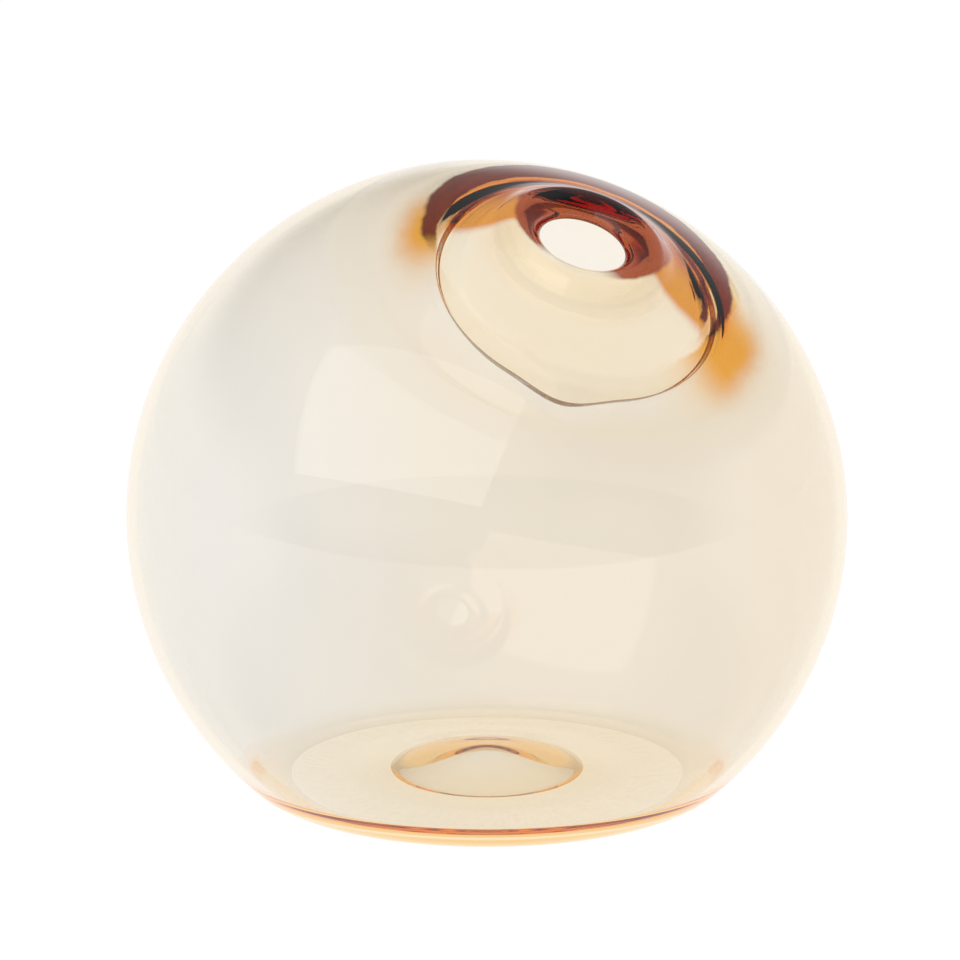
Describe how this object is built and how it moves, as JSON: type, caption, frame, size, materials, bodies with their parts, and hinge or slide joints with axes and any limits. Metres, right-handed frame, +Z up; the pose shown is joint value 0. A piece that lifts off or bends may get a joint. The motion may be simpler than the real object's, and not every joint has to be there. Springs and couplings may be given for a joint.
{
  "type": "open glass float ball",
  "caption": "Hollow blown-glass ball with a small off-centre mouth, a flared lip, a heavy collar of glass round it and a thick flattened foot; empty inside and stands by its own weight.",
  "frame": {"origin": "centre of the foot, on the surface the ball stands on", "axes": "+Z up; the mouth leans from vertical toward -Y; X = 0 is the mirror plane"},
  "size_m": [0.15, 0.1498, 0.1327],
  "materials": {
    "amber_glass": "clear blown glass, pale straw in the wall and deep amber where it is thick; fire-polished"
  },
  "bodies": {
    "root": {"glass_ball": "amber_glass"}
  },
  "joints": []
}
